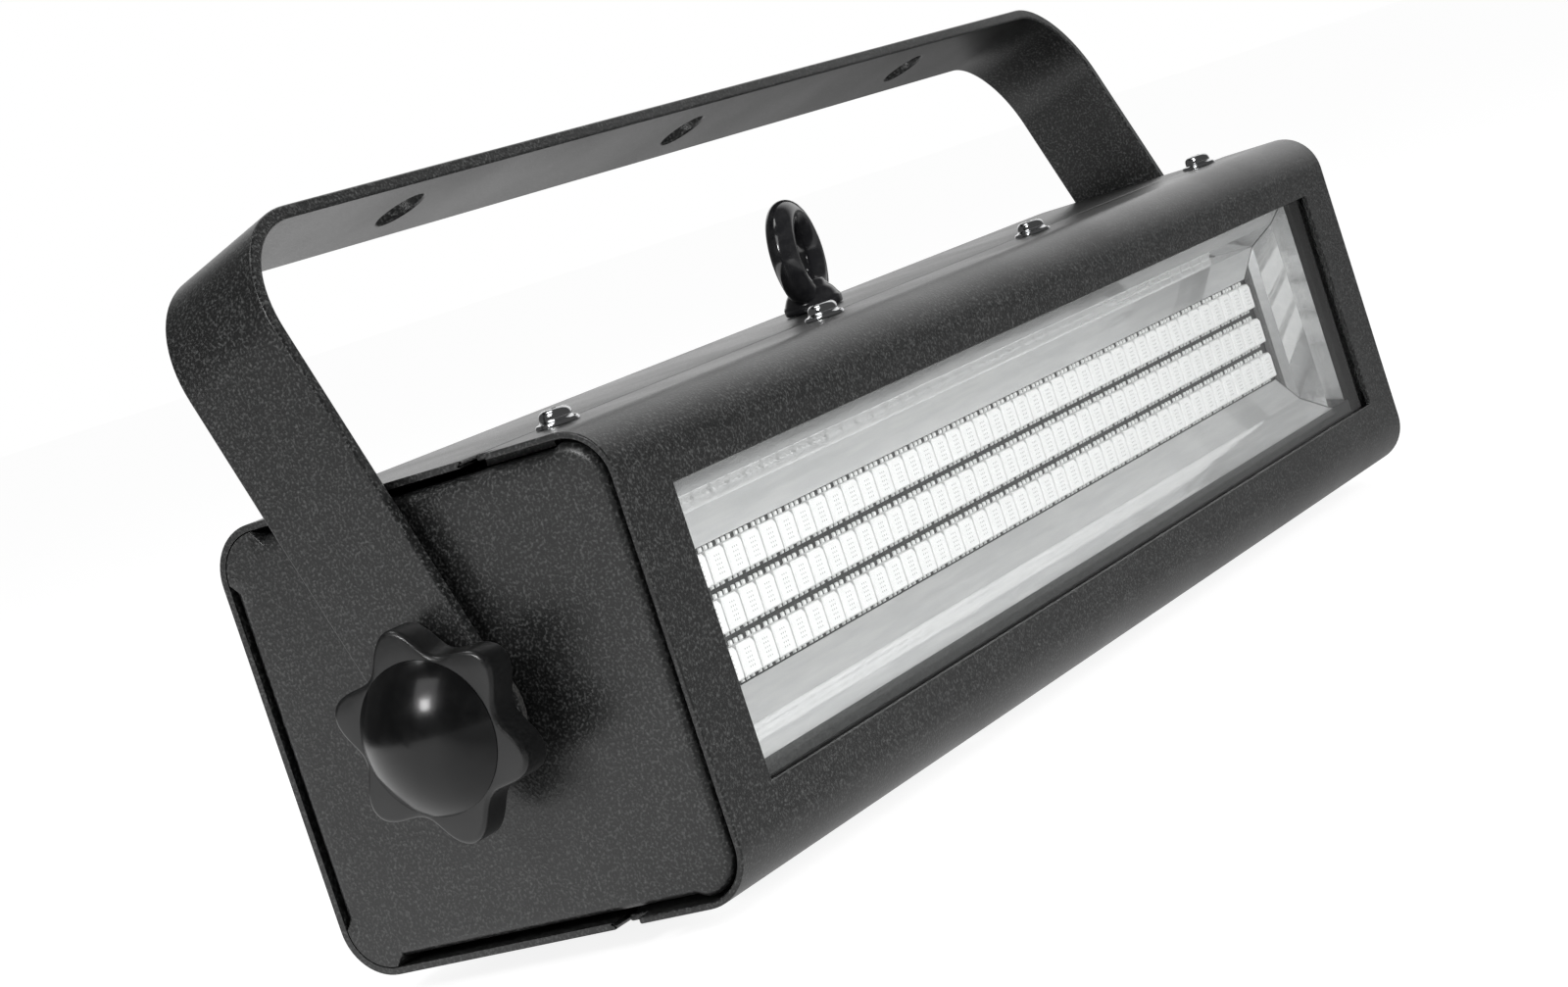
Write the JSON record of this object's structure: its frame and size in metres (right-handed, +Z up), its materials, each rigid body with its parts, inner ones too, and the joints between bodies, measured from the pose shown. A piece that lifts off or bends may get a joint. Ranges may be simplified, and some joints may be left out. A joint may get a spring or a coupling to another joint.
{
  "type": "strobe light",
  "caption": "Bar-shaped strobe light: a sheet-steel box with a window over a light-emitting field, hung in a tilting U-shaped yoke that two star knobs clamp.",
  "frame": {"origin": "under the middle of the whole part, at the height of the four feet's soles", "axes": "+X along the bar to the right of someone who looks at the window, -Y the way the light leaves, +Z up"},
  "size_m": [0.3156, 0.0746, 0.1136],
  "materials": {
    "housing_paint": "fine-grained black powder coat",
    "eyebolt_paint": "gloss black",
    "knob_plastic": "gloss black",
    "button_plastic": "gloss black",
    "socket_plastic": "matt black",
    "washer_fibre": "matt black",
    "seal_rubber": "matt",
    "chrome": "polished",
    "zinc_steel": "zinc plated",
    "chassis_aluminium": "mill finish",
    "reflector_mirror": "bright",
    "clear_glass": "clear",
    "smoked_glass": "smoked",
    "led_white": "white packages on a board",
    "circuit_green": "solder mask",
    "cable_rubber": "satin"
  },
  "bodies": {
    "housing": {"front_shell": "housing_paint", "rear_shell": "housing_paint", "left_end_plate": "housing_paint", "right_end_plate": "housing_paint", "window_glass": "clear_glass", "window_gasket": "seal_rubber", "reflector_upper": "reflector_mirror", "reflector_lower": "reflector_mirror", "reflector_left": "reflector_mirror", "reflector_right": "reflector_mirror", "led_board": "led_white", "led_chassis": "chassis_aluminium", "power_board": "circuit_green", "control_board": "circuit_green", "display_window": "smoked_glass", "mains_inlet": "socket_plastic", "inlet_screw_1": "zinc_steel", "inlet_screw_2": "zinc_steel", "data_in_socket": "socket_plastic", "data_out_socket": "socket_plastic", "data_in_screw_1": "zinc_steel", "data_in_screw_2": "zinc_steel", "data_out_screw_1": "zinc_steel", "data_out_screw_2": "zinc_steel", "mains_lead": "cable_rubber", "led_lead": "cable_rubber", "control_ribbon": "cable_rubber", "top_screw_1": "chrome", "top_screw_2": "chrome", "top_screw_3": "chrome", "top_screw_4": "chrome", "bottom_screw_1": "chrome", "bottom_screw_2": "chrome", "bottom_screw_3": "chrome", "bottom_screw_4": "chrome", "front_left_foot": "seal_rubber", "front_right_foot": "seal_rubber", "rear_left_foot": "seal_rubber", "rear_right_foot": "seal_rubber", "eyebolt": "eyebolt_paint", "eyebolt_nut": "zinc_steel", "left_pivot_nut": "zinc_steel", "right_pivot_nut": "zinc_steel", "left_friction_washer": "washer_fibre", "right_friction_washer": "washer_fibre"},
    "yoke": {"yoke": "housing_paint"},
    "left_washer": {"left_thrust_washer": "zinc_steel"},
    "left_knob": {"left_knob": "knob_plastic", "left_stud": "zinc_steel"},
    "right_washer": {"right_thrust_washer": "zinc_steel"},
    "right_knob": {"right_knob": "knob_plastic", "right_stud": "zinc_steel"},
    "button_1": {"button_1": "button_plastic"},
    "button_2": {"button_2": "button_plastic"},
    "button_3": {"button_3": "button_plastic"},
    "button_4": {"button_4": "button_plastic"},
    "fuse_drawer": {"fuse_drawer": "socket_plastic", "fuse": "clear_glass"},
    "data_out_latch": {"data_out_latch": "zinc_steel"}
  },
  "joints": [
    {"name": "yoke_tilt", "type": "hinge", "parent": "housing", "child": "yoke", "pos_m": [0, -0.00255, 0.0377], "axis": [1, 0, 0], "continuous": true},
    {"name": "left_washer_slide", "type": "slide", "parent": "housing", "child": "left_washer", "axis": [-1, 0, 0], "range_m": [0, 0.00501]},
    {"name": "left_knob_turn", "type": "hinge", "parent": "left_washer", "child": "left_knob", "pos_m": [-0.1408, -0.00255, 0.0377], "axis": [-1, 0, 0], "range_deg": [0, 1800]},
    {"name": "right_washer_slide", "type": "slide", "parent": "housing", "child": "right_washer", "axis": [1, 0, 0], "range_m": [0, 0.00501]},
    {"name": "right_knob_turn", "type": "hinge", "parent": "right_washer", "child": "right_knob", "pos_m": [0.1408, -0.00255, 0.0377], "axis": [1, 0, 0], "range_deg": [0, 1800]},
    {"name": "button_1_press", "type": "slide", "parent": "housing", "child": "button_1", "axis": [0, -1, 0], "range_m": [0, 0.0005], "stiffness_N_per_m": 1500, "springref_m": -0.0005},
    {"name": "button_2_press", "type": "slide", "parent": "housing", "child": "button_2", "axis": [0, -1, 0], "range_m": [0, 0.0005], "stiffness_N_per_m": 1500, "springref_m": -0.0005},
    {"name": "button_3_press", "type": "slide", "parent": "housing", "child": "button_3", "axis": [0, -1, 0], "range_m": [0, 0.0005], "stiffness_N_per_m": 1500, "springref_m": -0.0005},
    {"name": "button_4_press", "type": "slide", "parent": "housing", "child": "button_4", "axis": [0, -1, 0], "range_m": [0, 0.0005], "stiffness_N_per_m": 1500, "springref_m": -0.0005},
    {"name": "fuse_drawer_slide", "type": "slide", "parent": "housing", "child": "fuse_drawer", "axis": [0, 1, 0], "range_m": [0, 0.016]},
    {"name": "data_out_latch_press", "type": "slide", "parent": "housing", "child": "data_out_latch", "axis": [0, -1, 0], "range_m": [0, 0.0008], "stiffness_N_per_m": 1200, "springref_m": -0.0005}
  ],
  "couplings": [
    {"joint": "left_washer_slide", "follows": "left_knob_turn", "m_per_rad": 0.00015915},
    {"joint": "right_washer_slide", "follows": "right_knob_turn", "m_per_rad": 0.00015915}
  ]
}
